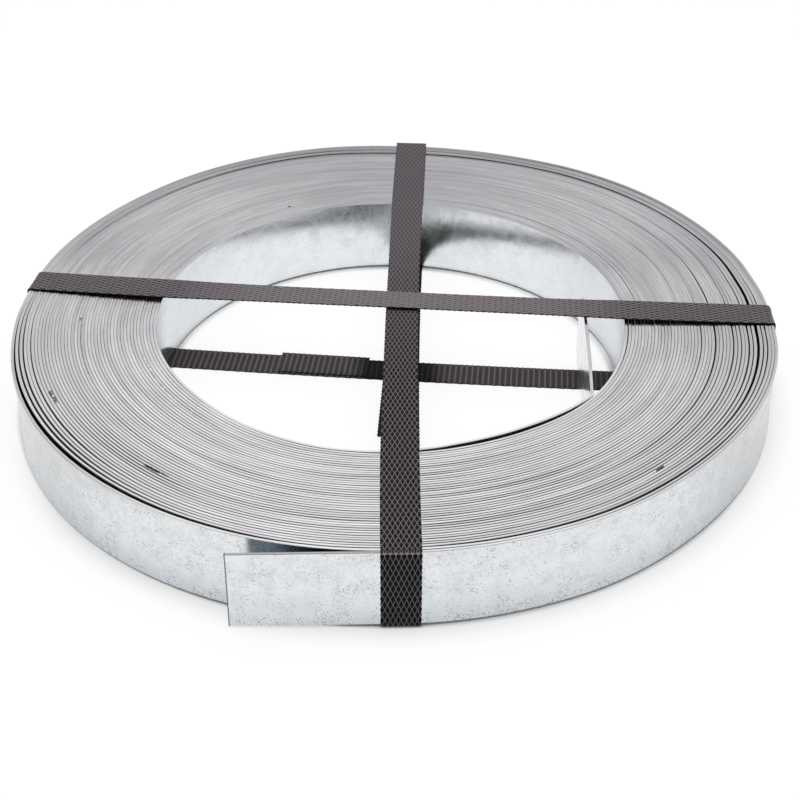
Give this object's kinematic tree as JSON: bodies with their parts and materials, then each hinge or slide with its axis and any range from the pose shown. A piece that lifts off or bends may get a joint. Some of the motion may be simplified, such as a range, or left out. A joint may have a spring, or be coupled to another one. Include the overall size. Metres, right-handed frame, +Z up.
{
  "type": "steel strapping coil",
  "caption": "Flat coil of galvanised steel strip with an open bore, loose inner and outer ends, held closed by two crossed plastic straps.",
  "frame": {"origin": "the coil's axis at floor level, under the middle of the object", "axes": "+Z up along the coil's axis, -Y to the front where the strip's outer end is, +X to the right"},
  "size_m": [0.2883, 0.2888, 0.0333],
  "materials": {
    "galvanised_strip": "bright zinc coated, fine mottle",
    "strap_plastic": "embossed polypropylene"
  },
  "bodies": {
    "root": {"strip_coil": "galvanised_strip", "strap_over": "strap_plastic", "strap_under": "strap_plastic"}
  },
  "joints": []
}
